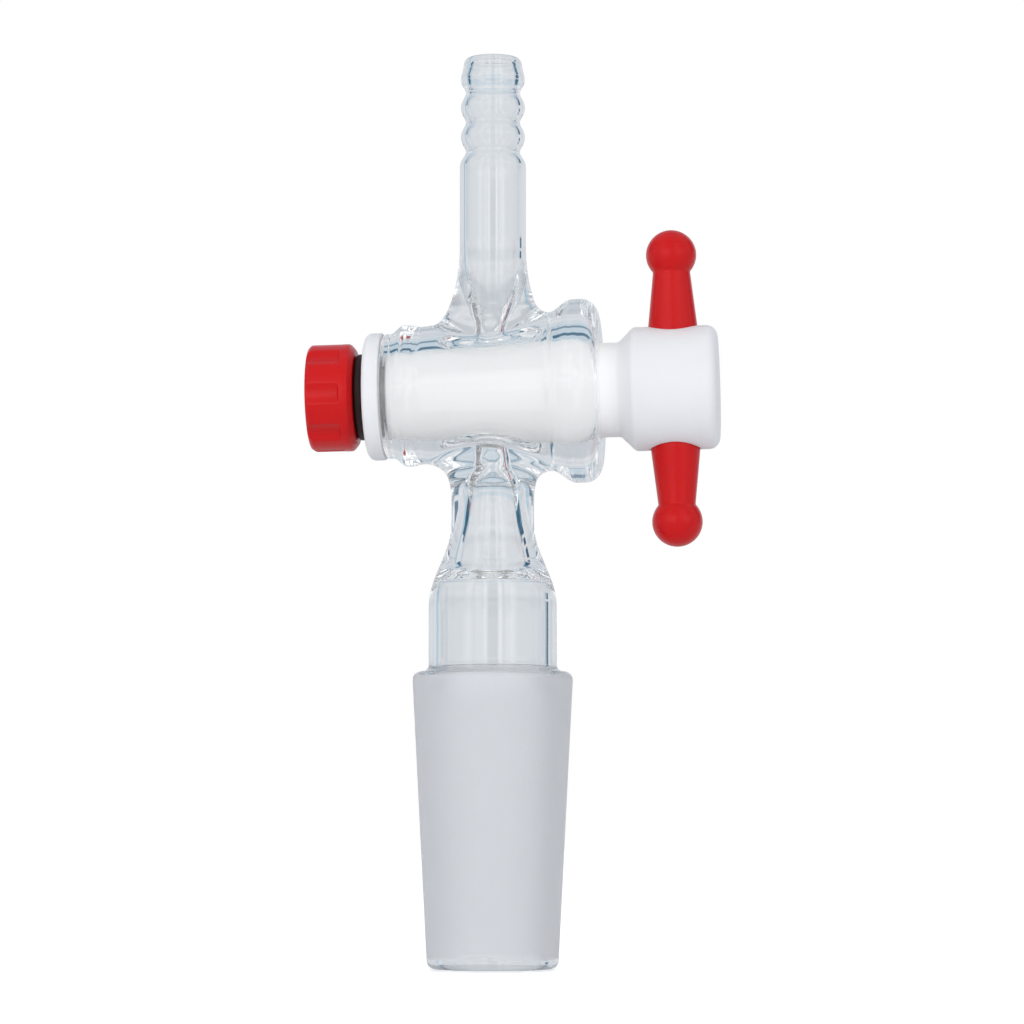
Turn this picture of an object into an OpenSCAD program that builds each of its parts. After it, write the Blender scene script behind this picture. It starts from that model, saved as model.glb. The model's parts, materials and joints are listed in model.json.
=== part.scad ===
// Glass stopcock adapter: hose arm on top, turning plug across, ground taper joint below.
// Millimetres, +Z up. The origin is the centre of the joint's lower end, Z runs along the stem,
// and the plug lies along +X towards its handle.

/* [Ground joint] */
// Diameter of the ground cone at its large end
joint_d = 24; // [22.5:0.5:28]
// Length of the ground cone
joint_len = 43; // [30:1:50]
// Loss of diameter per unit of length down the cone
joint_taper = 0.1; // [0.08:0.01:0.12]
// Glass thickness of the cone
joint_wall = 2.2; // [1.6:0.1:2.8]
// Rounding of the lower outer edge
tip_round = 1.2; // [0.6:0.1:1.4]
// Height of the round shoulder above the cone
shoulder_h = 2.3; // [1.6:0.1:4]

/* [Stem] */
// Outside diameter of the wide tube above the joint
wide_d = 19.2; // [17.6:0.2:21]
// Glass thickness of the wide tube
wide_wall = 1.5; // [1:0.1:1.8]
// Straight length of the wide tube
wide_len = 8.7; // [5:0.1:20]
// Height over which the wide tube narrows to the neck
drop_len = 12.5; // [11:0.5:18]
// Outside diameter of the neck under the barrel
neck_d = 12.4; // [11.4:0.2:14]
// Height from the bottom of the neck to the barrel's axis
neck_rise = 19.6; // [17.5:0.1:24]
// How far the neck spreads where it meets the barrel
neck_flare = 1.7; // [0.6:0.1:2.2]
// Bore of the stem where it opens into the wide tube
stem_bore_d = 9.7; // [9:0.1:10.2]
// Height from the wide tube's top to the start of the dome inside it
dome_rise = 3; // [1.5:0.1:3.4]
// Height of the dome over the wide tube's bore
dome_h = 3.6; // [3.4:0.1:4.2]
// Rounding of the dome's edge
dome_round = 0.8; // [0.4:0.1:1.2]
// Rounding of the lip where the stem's bore opens into the dome
dome_lip = 2.6; // [2:0.1:2.9]
// Bore at the bottom of the neck
neck_bore_d = 7.7; // [7:0.1:8.2]
// Bore of the neck where it meets the barrel
neck_throat_d = 5.5; // [4.8:0.1:6]

/* [Barrel] */
// Lean of the barrel from level, handle end up, in degrees
barrel_lean = 1.2; // [0:0.1:2.5]
// Length of the barrel to the left of the stem's axis
left_len = 16.3; // [15.5:0.1:20]
// Length of the barrel to the right of the stem's axis
right_len = 16.3; // [15.5:0.1:20]
// Outside diameter of the lip at the left end
lip_d = 18.8; // [16:0.2:20]
// Length of the lip at the left end
lip_len = 1.1; // [0.8:0.1:2]
// Length of the left rim, from the lip to the plain barrel
left_rim_len = 4.7; // [3.5:0.1:6]
// Outside diameter of the left rim
left_rim_d = 21.3; // [21:0.1:24]
// Outside diameter of the barrel beside the left rim
barrel_left_d = 20.7; // [20:0.1:21]
// Outside diameter of the barrel beside the right rim
barrel_right_d = 23.7; // [22:0.1:26]
// Outside diameter of the right rim
right_rim_d = 27.6; // [26.4:0.2:30]
// Length of the right rim, from the plain barrel to the end
right_rim_len = 7.8; // [6.5:0.1:9]
// Easing of the two mouths of the barrel's bore
mouth_ease = 0.4; // [0.2:0.1:0.6]

/* [Hose arm] */
// Height from the barrel's axis to the lower end of the straight tube
arm_rise = 22.4; // [20:0.1:30]
// Straight length of the tube under the barbs
tube_len = 12; // [8:0.5:30]
// Outside diameter of the tube
tube_d = 10; // [9:0.1:11.4]
// Outside diameter of the barbs
barb_d = 9.7; // [9.2:0.1:10.4]
// Outside diameter of the grooves between the barbs
groove_d = 8.2; // [7.8:0.1:8.8]
// Distance from one barb to the next
barb_pitch = 4.5; // [4:0.1:6]
// Number of barbs with a groove on either side
barb_count = 2; // [1:1:4]
// How full the barbs are: 1 is a cosine, and less is fuller
barb_fullness = 0.65; // [0.5:0.05:1]
// Length of the round end above the last groove
arm_end_len = 5.4; // [4:0.1:8]
// Glass thickness of the hose arm
arm_wall = 0.85; // [0.8:0.05:1.1]
// How far the tube spreads where it meets the barrel
arm_flare = 2.3; // [0.6:0.1:2.6]
// Bore of the hose arm where it meets the barrel
arm_throat_d = 5.2; // [4.4:0.1:6]
// How far the arm's full bore runs down below its straight tube
arm_bore_drop = 2.5; // [0:0.1:4]
// Outside diameter of the arm's end under its rounding
arm_end_d = 8.9; // [8.4:0.1:9.6]
// Rounding of the arm's open end
arm_end_round = 1; // [0.5:0.1:1.2]
// Bore of the arm's open end
arm_mouth_d = 6.2; // [5.6:0.1:6.4]
// Easing of the open end's inner edge
arm_mouth_ease = 0.3; // [0.1:0.1:0.4]

/* [Plug] */
// Diameter of the tapered key where the stem's axis crosses it
key_d = 14.5; // [13.4:0.1:15.2]
// Growth of the key's diameter per unit of length towards the handle
key_taper = 0.1; // [0.08:0.01:0.12]
// Diameter of the bore through the plug and of both ports in the barrel
port_d = 4; // [2:0.5:4.5]
// Diameter of the plug's neck outside the barrel
plug_neck_d = 14.2; // [12:0.1:14.6]
// Length of the plug's neck with its fillet
plug_neck_len = 3.1; // [2:0.1:5]
// Diameter of the plug's head
head_d = 18.6; // [17:0.1:22]
// Length of the plug's head with its chamfer
head_len = 14.8; // [13:0.1:18]
// Rounding of the head's outer edge
head_round = 1.7; // [0.5:0.1:3]
// Diameter over the thread of the stub
stub_d = 9; // [8:0.1:9.6]
// Depth of the flat that keys the washer
key_flat = 0.8; // [0.4:0.1:1.2]
// How far inside the barrel's right end the key stops
key_inset = 0.2; // [0:0.1:0.6]
// How far inside the barrel's left end the key stops
key_recess = 0.8; // [0.4:0.1:1.5]
// How far inside the nut the stub stops
stub_recess = 0.8; // [0.3:0.1:2]

/* [Handle] */
// Distance between the centres of the two balls
ball_span = 40.2; // [34:0.2:50]
// Diameter of the balls
ball_d = 7.5; // [7:0.1:7.5]
// Diameter of the bar through the head
bar_d = 7.5; // [7.5:0.1:8.4]
// Diameter of the waist beside each ball
waist_d = 5.5; // [4.5:0.1:6.4]

/* [Washer, ring and nut] */
// Thickness of the washer
washer_t = 2.6; // [2:0.1:3.5]
// Diameter of the washer
washer_d = 19.2; // [17:0.2:22]
// Rounding of the washer's outer edge
washer_round = 1.1; // [0.3:0.1:1.4]
// Diameter of the rubber ring
ring_d = 13; // [12.6:0.1:14]
// Thickness of the rubber ring as squeezed by the nut
ring_t = 1.5; // [1.2:0.1:1.9]
// Diameter of the nut
nut_d = 16.2; // [15:0.2:20]
// Length of the nut
nut_len = 7.1; // [6:0.1:8]
// Number of flutes round the nut
flute_count = 8; // [6:1:12]
// Width of each flute
flute_w = 3.6; // [2:0.1:3.8]
// Depth of each flute
flute_depth = 0.5; // [0.2:0.1:0.8]
// Length of the plain collar at the nut's inner end
collar_len = 1.1; // [1:0.1:2]
// Bevel of the collar
nut_bevel = 0.8; // [0.4:0.1:1.2]

/* [Fits] */
// Radial clearance of the key in the barrel
key_clear = 0.03; // [0.02:0.01:0.08]
// Radial clearance of the bar in the head
bar_clear = 0.02; // [0.01:0.01:0.06]
// Radial clearance of the washer, ring and nut on the stub
stub_clear = 0.06; // [0.04:0.01:0.1]
// Gap between the faces that bear on each other
face_gap = 0.03; // [0.02:0.01:0.06]

/* [Hidden] */
$fn = 96;

// Heights up the stem
wide_z = joint_len + shoulder_h;
drop_z = wide_z + wide_len;
neck_z = drop_z + drop_len;
barrel_z = neck_z + neck_rise;
barrel_r = (barrel_left_d + barrel_right_d) / 4;
tube_z = barrel_z + arm_rise;
barb_z = tube_z + tube_len;
last_groove_z = barb_z + barb_pitch * (barb_count + 0.5);
arm_top_z = last_groove_z + arm_end_len;

// Degrees that the dome's edge and its lip turn, to and from its straight slope
dome_turn = 68;
// How much taller than wide the rounding of the arm's open end is
end_stretch = 1.3;

// Places along the plug, measured from the stem's axis towards the handle
plug_neck_x = right_len - key_inset;
head_x = plug_neck_x + plug_neck_len;
head_end_x = head_x + head_len;
chamfer = (head_d - plug_neck_d) / 2;
bar_x = head_x + chamfer + (head_len - chamfer) * 0.47;
key_end_x = -left_len + key_recess;
washer_x = -left_len - face_gap - washer_t;
ring_x = washer_x - face_gap - ring_t;
nut_x = ring_x - face_gap - nut_len;
stub_end_x = nut_x + stub_recess;

// Radius of the key and of the barrel's bore at a place along the plug
function key_r(x) = (key_d + key_taper * x) / 2;
function bore_r(x) = key_r(x) + key_clear;

// A smooth step from 0 to 1
function ease(t) = (1 - cos(180 * t)) / 2;

// Points on a quarter of an ellipse about a centre, between two angles
function arc(centre, radii, from, to, steps = 8) =
    [for (i = [0:steps]) let (a = from + (to - from) * i / steps)
        [centre.x + radii.x * cos(a), centre.y + radii.y * sin(a)]];

// Points on a smooth change of radius between two places, as [radius, place]
function blend(r0, x0, r1, x1, steps = 8) =
    [for (i = [0:steps]) [r0 + (r1 - r0) * ease(i / steps), x0 + (x1 - x0) * i / steps]];

// Points on a spread that grows with a power of the distance, as [radius, place]
function spread(r0, x0, grow, x1, power, steps = 8) =
    [for (i = [0:steps]) [r0 + grow * pow(i / steps, power), x0 + (x1 - x0) * i / steps]];

// Radius of the barbed stretch: half a pitch of fall to the first groove, then the barbs
function barb_r(z) = let (turn = (z - barb_z) / barb_pitch, crest_d = turn < 0.5 ? tube_d : barb_d)
    (groove_d + (crest_d - groove_d) * pow((1 + cos(360 * turn)) / 2, barb_fullness)) / 2;

// The barbed stretch from the tube to the last groove, thinner by the given wall
function barbs(wall) = [for (i = [0:6 * (2 * barb_count + 1)])
    let (z = barb_z + i * barb_pitch / 12) [barb_r(z) - wall, z]];

// Places the children along the leaning barrel: their Z becomes the plug's axis
module along_barrel() {
    translate([0, 0, barrel_z]) rotate([0, 90 - barrel_lean, 0]) children();
}

// Outside of the joint and stem, up to the barrel's axis
module stem_outside() {
    tip_r = (joint_d - joint_taper * joint_len) / 2;
    corner = shoulder_h * 0.55;
    fillet = shoulder_h - corner;
    neck_top = barrel_z - barrel_r + 0.3;
    rotate_extrude() polygon(concat(
        [[0, 0]],
        arc([tip_r - tip_round, tip_round], [tip_round, tip_round], -90, 0),
        arc([joint_d / 2 - corner, joint_len], [corner, corner], 0, 90),
        arc([wide_d / 2 + fillet, wide_z], [fillet, fillet], 270, 180),
        blend(wide_d / 2, drop_z, neck_d / 2, neck_z, 12),
        spread(neck_d / 2, neck_z + 1, neck_flare, neck_top, 4),
        [[neck_d / 2 + neck_flare, barrel_z - barrel_r / 4], [0, barrel_z - barrel_r / 4]]));
}

// Inside of the joint and stem, open at the bottom
module stem_inside() {
    wide_r = wide_d / 2 - wide_wall;
    joint_r = joint_d / 2 - joint_wall;
    tip_r = joint_r - joint_taper * (joint_len - 3) / 2;
    dome_z = drop_z + dome_rise;
    rotate_extrude() polygon(concat(
        [[0, -1], [tip_r + 0.4, -1], [tip_r + 0.4, 0], [tip_r, 0.5]],
        blend(joint_r, joint_len - 3, wide_r, wide_z),
        arc([wide_r - dome_round, dome_z], [dome_round, dome_round], 0, dome_turn),
        arc([stem_bore_d / 2 + dome_lip, dome_z + dome_h], [dome_lip, dome_lip], 180 + dome_turn, 180),
        [[neck_bore_d / 2, neck_z],
            [neck_throat_d / 2, barrel_z - barrel_r - 1],
            [port_d / 2, barrel_z - barrel_r + 1], [port_d / 2, barrel_z], [0, barrel_z]]));
}

// Outside of the hose arm, from inside the barrel to its round end
module arm_outside() {
    flare_z = barrel_z + barrel_r + 0.3;
    rotate_extrude() polygon(concat(
        [[0, barrel_z + barrel_r / 4], [tube_d / 2 + arm_flare, barrel_z + barrel_r / 4]],
        [for (i = [8:-1:0]) spread(tube_d / 2, tube_z, arm_flare, flare_z, 2.2)[i]],
        barbs(0),
        blend(groove_d / 2, last_groove_z, barb_d / 2, last_groove_z + 2),
        arc([arm_end_d / 2 - arm_end_round, arm_top_z - end_stretch * arm_end_round],
            [arm_end_round, end_stretch * arm_end_round], 0, 90),
        [[0, arm_top_z]]));
}

// Inside of the hose arm, from the port in the barrel to the open end
module arm_inside() {
    tube_r = tube_d / 2 - arm_wall;
    rotate_extrude() polygon(concat(
        [[0, barrel_z], [port_d / 2, barrel_z], [port_d / 2, barrel_z + barrel_r - 1],
            [arm_throat_d / 2, barrel_z + barrel_r + 1], [tube_r, tube_z - arm_bore_drop]],
        barbs(arm_wall),
        [[barb_d / 2 - arm_wall - 0.3, last_groove_z + 2],
            [arm_mouth_d / 2, arm_top_z - 1], [arm_mouth_d / 2, arm_top_z - arm_mouth_ease],
            [arm_mouth_d / 2 + arm_mouth_ease, arm_top_z],
            [arm_mouth_d / 2 + arm_mouth_ease, arm_top_z + 1],
            [0, arm_top_z + 1]]));
}

// Outside of the barrel, along its own axis
module barrel_outside() {
    rim_x = -left_len + lip_len;
    rim_end_x = rim_x + left_rim_len;
    crest_x = right_len - right_rim_len / 2;
    lip_round = lip_len / 2;
    rotate_extrude() polygon(concat(
        [[0, -left_len]],
        arc([lip_d / 2 - lip_round, -left_len + lip_round], [lip_round, lip_round], -90, 0, 4),
        blend(lip_d / 2, rim_x, left_rim_d / 2, rim_x + left_rim_len * 0.45),
        blend(left_rim_d / 2, rim_end_x - left_rim_len * 0.4, barrel_left_d / 2, rim_end_x),
        blend(barrel_right_d / 2, right_len - right_rim_len, right_rim_d / 2, crest_x),
        arc([right_rim_d / 2 - 3, right_len - right_rim_len / 3], [3, right_rim_len / 3], 0, 90),
        [[0, right_len]]));
}

// Tapered bore of the barrel, with its mouths eased
module barrel_inside() {
    left_r = bore_r(-left_len) + mouth_ease;
    right_r = bore_r(right_len) + mouth_ease;
    left_x = -left_len + mouth_ease;
    right_x = right_len - mouth_ease;
    rotate_extrude() polygon([
        [0, -left_len - 1], [left_r, -left_len - 1], [left_r, -left_len],
        [bore_r(left_x), left_x], [bore_r(right_x), right_x],
        [right_r, right_len], [right_r, right_len + 1], [0, right_len + 1]]);
}

// The glass: two arms and the barrel fused, with the flow path open through them
module glass_body() {
    color([0.84, 0.87, 0.9, 0.55]) difference() {
        union() {
            stem_outside();
            arm_outside();
            along_barrel() barrel_outside();
        }
        stem_inside();
        arm_inside();
        along_barrel() barrel_inside();
    }
}

// Key, neck, head and stub of the plug, with the flow bore and the hole for the bar
module plug() {
    fillet = (2 * key_r(plug_neck_x) - plug_neck_d) / 2;
    color([0.93, 0.94, 0.95]) along_barrel() difference() {
        rotate_extrude() polygon(concat(
            [[0, stub_end_x], [stub_d / 2 - 0.6, stub_end_x], [stub_d / 2, stub_end_x + 0.6],
                [stub_d / 2, key_end_x], [key_r(key_end_x), key_end_x],
                [key_r(plug_neck_x), plug_neck_x]],
            arc([key_r(plug_neck_x), plug_neck_x + fillet + 0.1], [fillet, fillet], 270, 180),
            [[plug_neck_d / 2, head_x], [head_d / 2, head_x + chamfer]],
            arc([head_d / 2 - head_round, head_end_x - head_round],
                [head_round, head_round], 0, 90),
            [[0, head_end_x]]));
        rotate([0, 90, 0]) cylinder(d = port_d, h = 2 * key_d, center = true);
        translate([0, 0, bar_x]) rotate([0, 90, 0])
            cylinder(d = bar_d + 2 * bar_clear, h = 2 * head_d, center = true);
        translate([stub_d / 2 - key_flat, -stub_d, stub_end_x - 1])
            cube([stub_d, 2 * stub_d, key_end_x - stub_end_x + 1]);
    }
}

// The bar: straight through the head, narrowing to a waist beside each ball
module handle_bar() {
    half = ball_span / 2;
    waist = half - sqrt(ball_d * ball_d - waist_d * waist_d) / 2;
    color([0.81, 0.13, 0.14]) along_barrel() translate([0, 0, bar_x]) rotate([0, 90, 0]) {
        rotate_extrude() polygon([
            [0, -half], [waist_d / 2, -half], [waist_d / 2, -waist],
            [bar_d / 2, -head_d / 2 + 0.4], [bar_d / 2, head_d / 2 - 0.4],
            [waist_d / 2, waist], [waist_d / 2, half], [0, half]]);
        for (side = [-1, 1]) translate([0, 0, side * half]) sphere(d = ball_d);
    }
}

// The washer, with a hole that fits the stub and its flat
module washer() {
    hole_d = stub_d + 2 * stub_clear;
    color([0.92, 0.93, 0.94]) along_barrel() translate([0, 0, washer_x]) difference() {
        rotate_extrude() polygon(concat(
            [[0, 0]],
            arc([washer_d / 2 - washer_round, washer_round],
                [washer_round, washer_round], -90, 0),
            arc([washer_d / 2 - 0.3, washer_t - 0.3], [0.3, 0.3], 0, 90, 4),
            [[0, washer_t]]));
        difference() {
            translate([0, 0, -1]) cylinder(d = hole_d, h = washer_t + 2);
            translate([hole_d / 2 - key_flat, -hole_d, -2])
                cube([hole_d, 2 * hole_d, washer_t + 4]);
        }
    }
}

// The rubber ring, round in section and flattened between the washer and the nut
module o_ring() {
    section = (ring_d - stub_d) / 2 - stub_clear;
    color([0.12, 0.06, 0.07]) along_barrel() translate([0, 0, ring_x + ring_t / 2])
        rotate_extrude() intersection() {
            translate([(ring_d - section) / 2, 0]) circle(d = section);
            translate([0, -ring_t / 2]) square([ring_d, ring_t]);
        }
}

// The nut: a bevelled collar, shallow flutes round the rest, and a plain bore for the thread
module nut() {
    cutter_r = (flute_w * flute_w / 4 + flute_depth * flute_depth) / (2 * flute_depth);
    color([0.81, 0.13, 0.14]) along_barrel() translate([0, 0, nut_x]) difference() {
        rotate_extrude() polygon([
            [stub_d / 2 + stub_clear + 0.5, 0], [nut_d / 2 - 0.5, 0], [nut_d / 2, 0.5],
            [nut_d / 2, nut_len - nut_bevel], [nut_d / 2 - nut_bevel * 1.2, nut_len],
            [stub_d / 2 + stub_clear, nut_len], [stub_d / 2 + stub_clear, 0.5]]);
        for (i = [0:flute_count - 1])
            rotate([0, 0, 90 + i * 360 / flute_count])
                translate([nut_d / 2 + cutter_r - flute_depth, 0, -1])
                    cylinder(r = cutter_r, h = nut_len - collar_len - nut_bevel + 1);
    }
}

glass_body();
plug();
handle_bar();
washer();
o_ring();
nut();
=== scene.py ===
"""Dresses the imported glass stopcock: blown glass, turned plug, moulded handle and nut, and a studio.

Sizes are in millimetres inside the shape functions and become metres when a mesh is made.
The barrel's own frame is (place along the plug towards the handle, up, towards the front).
"""

import json
import math
from types import SimpleNamespace

import bpy
import numpy as np
from bpy.props import FloatProperty, FloatVectorProperty, IntProperty, PointerProperty
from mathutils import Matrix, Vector


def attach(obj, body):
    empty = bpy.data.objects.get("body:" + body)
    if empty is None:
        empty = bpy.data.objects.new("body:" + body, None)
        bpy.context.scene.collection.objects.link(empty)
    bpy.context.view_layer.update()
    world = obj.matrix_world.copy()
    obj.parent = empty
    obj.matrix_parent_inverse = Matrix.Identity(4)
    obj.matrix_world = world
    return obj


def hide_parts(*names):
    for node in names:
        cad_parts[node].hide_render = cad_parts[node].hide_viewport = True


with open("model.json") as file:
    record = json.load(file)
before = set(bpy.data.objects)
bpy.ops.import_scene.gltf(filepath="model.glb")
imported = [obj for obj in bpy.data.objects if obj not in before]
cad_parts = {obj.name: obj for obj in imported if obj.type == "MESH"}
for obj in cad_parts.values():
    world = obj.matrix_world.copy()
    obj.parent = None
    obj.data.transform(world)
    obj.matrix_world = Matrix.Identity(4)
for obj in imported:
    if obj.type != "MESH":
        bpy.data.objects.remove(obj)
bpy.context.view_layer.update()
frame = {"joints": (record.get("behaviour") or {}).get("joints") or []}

bl_info = {
    "name": "Glass stopcock",
    "version": (1, 0, 0),
    "blender": (4, 5, 0),
    "location": "View3D > Sidebar > Stopcock",
    "description": "Makes the visible pieces of a glass stopcock around its packed solids",
    "category": "Add Mesh",
}

MM = 0.001
PLUG_TURN = next(joint for joint in frame["joints"] if joint["name"] == "plug_turn")
BARREL_MIDDLE = np.array(PLUG_TURN["pos_m"]) / MM
BARREL_AXIS = np.array(PLUG_TURN["axis"]) / np.linalg.norm(PLUG_TURN["axis"])
FRONT = np.array([0.0, -1.0, 0.0])
BARREL_UP = np.cross(FRONT, BARREL_AXIS)

# Clearances: key in the bore, face to face along the plug, round the stub, and round the bar
KEY_CLEAR = 0.03
FACE_GAP = 0.03
STUB_CLEAR = 0.06
BAR_CLEAR = 0.02

# Faces across a window and round the rest of the barrel and of the plug, and rows along a blend
WINDOW_CELLS = 36
SIDE_CELLS = 32
PLUG_CELLS = 24
PLUG_SIDE_CELLS = 40
BLEND_ROWS = 24

# Half widths, in degrees, of the sectors that hold the windows
OUTER_SECTOR = 62.0
BORE_SECTOR = 28.0
PLUG_SECTOR = 29.0

# Ends of the arms' windows along the barrel, half width of the ports' windows, and where the
# bore's plain stretch ends
WINDOW_SPAN = (-10.0, 9.6)
PORT_SPAN = 3.4
BORE_SPAN = 14.0

# Each arm's side, the height from the barrel's axis at which its blend ends, and the blend's reach
ARMS = ((1, 15.6, 2.2), (-1, 14.8, 2.0))

# How high over the barrel's mean skin the flares end, the share that makes up for their slope, and
# how far the upright ports lie off the leaning barrel's middle
FLARE_LIFT = 0.3
FLARE_SLOPE = 0.93
PORT_SHIFT = 0.152

# Taper of the ground joint, how far round its edge the dome turns, in degrees, and how much the
# grooves, the barrel's mouths and the ports are eased
JOINT_TAPER = 0.1
DOME_TURN = 68.0
GROOVE_EASE = 0.12
MOUTH_EASE = 0.4
PORT_EASE = 0.2

# Where the ground surface starts above the tip and ends above the cone, and over what it fades
GROUND_START = 1.5
GROUND_PAST = 0.85
GROUND_FADE_IN = 0.5
GROUND_FADE_OUT = 0.4

# How far inside the barrel the neck starts and the key ends, and inside the nut the stub ends, and
# the bar's place as a share of the head
NECK_SUNK = 0.2
KEY_SUNK = 0.8
STUB_SUNK = 0.8
BAR_SHARE = 0.47

# Depth of the thread on the stub and in the nut
STUB_THREAD = 0.42
NUT_THREAD = 0.36

# Height of the bar's moulding line, and its half width as the sine of an angle
SEAM_HEIGHT = 0.035
SEAM_WIDTH = 0.035

# Sockets of a node that mixes colours
SHARE, FIRST, SECOND = 0, 6, 7

# Bounces that light needs to find its way out of the thick glass
GLASS_BOUNCES = 96

# How much brighter than white paper the soft boxes are
WINDOW_GLOW = 1.6

# Cards on each side of the object: azimuth and half width, elevation and half height, soft edge,
# in degrees, then colour and share
CARDS = {"back": (
    (0, 60, -50, 26, 8, "shade", 0.8),
    (0, 30, 0, 1.5, 4, "shade", 0.4),
    (0, 60, 55, 22, 8, "veil", 0.4),
    (58, 14, 25, 13, 2, "seam", 1.0),
    (-63, 11, 25, 13, 2, "seam", 1.0),
    (74, 4, 0, 12, 2, "seam", 0.6),
    (-74, 4, 0, 12, 2, "seam", 0.6),
    (50, 6, -5, 3, 1, "seam", 1.0),
    (50, 6, 4, 2.5, 1, "seam", 1.0),
    (65, 5, 9, 3, 1, "seam", 0.6),
    (-65, 5, 9, 3, 1, "seam", 0.9),
    (-45, 3, 0, 35, 2, "veil", 0.7),
    (0, 50, 22, 1.5, 2, "veil", 0.3),
    (0, 40, 64, 3, 2, "seam", 0.9),
    (0, 60, 42, 2.5, 1.5, "seam", 0.7),
), "front": (
    (0, 8, 0, 25, 3, "lens_hood", 1.0),
    (0, 70, 17, 3, 3, "window", 0.8),
    (0, 70, 4.5, 0.8, 1, "window", 0.6),
    (-16, 2.5, 0, 40, 3, "window", 1.0),
    (15, 2.5, 0, 40, 3, "window", 1.0),
    (-47, 5, 10, 40, 4, "window", 1.0),
    (32, 6, 10, 40, 4, "window", 1.0),
)}

# Lamps: name, place and size in metres, and power in watts
LAMPS = (
    ("Key_light", (-0.35, -1.0, 0.16), 0.6, 5.2),
    ("Fill_light", (0.75, -0.65, 0.1), 0.5, 1.2),
    ("Top_light", (0.1, 0.25, 0.95), 0.6, 0.15),
)
LAMP_AIM = (0, 0, 0.07)

# Half width of the floor and its depth below the part, in metres, and its lift to white
FLOOR_REACH = 1.6
FLOOR_DROP = 2e-4
FLOOR_LIFT = 0.42


# Colours and settings


def linear(code):
    """Linear colour of an sRGB hex code: below 0.04045 a line, above it a power of 2.4."""
    parts = np.array([int(code[i : i + 2], 16) for i in (1, 3, 5)]) / 255
    curve = np.where(parts <= 0.04045, parts / 12.92, ((parts + 0.055) / 1.055) ** 2.4)
    return tuple(float(value) for value in curve)


def length(name, millimetres, description):
    """A length property, given in millimetres and kept in metres."""
    return FloatProperty(name=name, description=description, default=millimetres * MM, min=0.0,
                         precision=5, subtype="DISTANCE", unit="LENGTH")


def angle(name, degrees, description):
    """An angle property, given in degrees and kept in radians."""
    return FloatProperty(name=name, description=description, default=math.radians(degrees),
                         subtype="ANGLE", unit="ROTATION")


def colour(name, code, description):
    """A colour property, given as an sRGB hex code and kept as linear light."""
    return FloatVectorProperty(name=name, description=description, default=linear(code), min=0.0,
                               max=1.0, size=3, subtype="COLOR")


class GlassSizes(bpy.types.PropertyGroup):
    """Sizes and colours of the glass body."""

    joint_d: length("Joint diameter", 24, "Ground cone at its large end")
    joint_len: length("Joint length", 43, "Length of the ground cone")
    joint_wall: length("Joint wall", 2.2, "Glass thickness of the cone")
    tip_round: length("Tip rounding", 1.2, "Rounding of the lower outer edge")
    shoulder_h: length("Shoulder height", 2.3, "Round shoulder above the cone")
    wide_d: length("Wide tube", 19.2, "Outside diameter of the wide tube")
    wide_wall: length("Wide wall", 1.5, "Glass thickness of the wide tube")
    wide_len: length("Wide length", 8.7, "Straight length of the wide tube")
    drop_len: length("Drop", 12.5, "Height over which the wide tube narrows")
    neck_d: length("Neck", 12.4, "Outside diameter of the neck")
    neck_flare: length("Neck flare", 1.7, "How far the neck spreads at the barrel")
    stem_bore_d: length("Stem bore", 9.7, "Bore of the stem at the dome")
    dome_rise: length("Dome rise", 3.0, "From the wide tube's top to the dome inside it")
    dome_h: length("Dome", 3.6, "Height of the dome over the wide bore")
    dome_round: length("Dome rounding", 0.8, "Rounding of the dome's edge")
    dome_lip: length("Dome lip", 2.6, "Rounding of the lip where the stem's bore opens into the dome")
    neck_bore_d: length("Neck bore", 7.7, "Bore at the bottom of the neck")
    neck_throat_d: length("Neck throat", 5.5, "Bore of the neck at the barrel")
    half_len: length("Half length", 16.3, "Barrel from the stem's axis to each end")
    lip_d: length("Lip", 18.8, "Outside diameter of the left lip")
    left_rim_d: length("Left rim", 21.3, "Outside diameter of the left rim")
    barrel_left_d: length("Barrel left", 20.7, "Barrel beside the left rim")
    barrel_right_d: length("Barrel right", 23.7, "Barrel beside the right rim")
    right_rim_d: length("Right rim", 27.6, "Outside diameter of the right rim")
    right_rim_len: length("Right rim length", 7.8, "From the plain barrel to the end")
    arm_rise: length("Arm rise", 22.4, "From the barrel's axis to the straight tube")
    tube_len: length("Tube length", 12, "Straight tube under the barbs")
    tube_d: length("Tube", 10, "Outside diameter of the hose tube")
    barb_d: length("Barbs", 9.7, "Outside diameter of the barbs")
    groove_d: length("Grooves", 8.2, "Outside diameter between the barbs")
    barb_pitch: length("Barb pitch", 4.5, "From one barb to the next")
    barb_count: IntProperty(name="Barb count", description="Barbs between grooves", default=2)
    barb_fullness: FloatProperty(
        name="Barb fullness", description="1 is a cosine, less is fuller", default=0.65)
    arm_end_len: length("Arm end", 5.4, "Round end above the last groove")
    arm_end_d: length("Arm end diameter", 8.9, "End under its rounding")
    arm_end_round: length("Arm end rounding", 1, "Rounding of the open end")
    arm_mouth_d: length("Arm mouth", 6.2, "Bore of the open end")
    arm_wall: length("Arm wall", 0.85, "Glass thickness of the hose arm")
    arm_flare: length("Arm flare", 2.3, "How far the tube spreads at the barrel")
    arm_throat_d: length("Arm throat", 5.2, "Bore of the hose arm at the barrel")
    arm_bore_drop: length("Arm bore drop", 2.5, "How far the full bore runs below the straight tube")
    tint: colour("Tint", "#fdfefe", "What one wall of the glass lets through")
    frost: colour("Frost", "#e0e1e4", "Grey of the ground joint")


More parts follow.
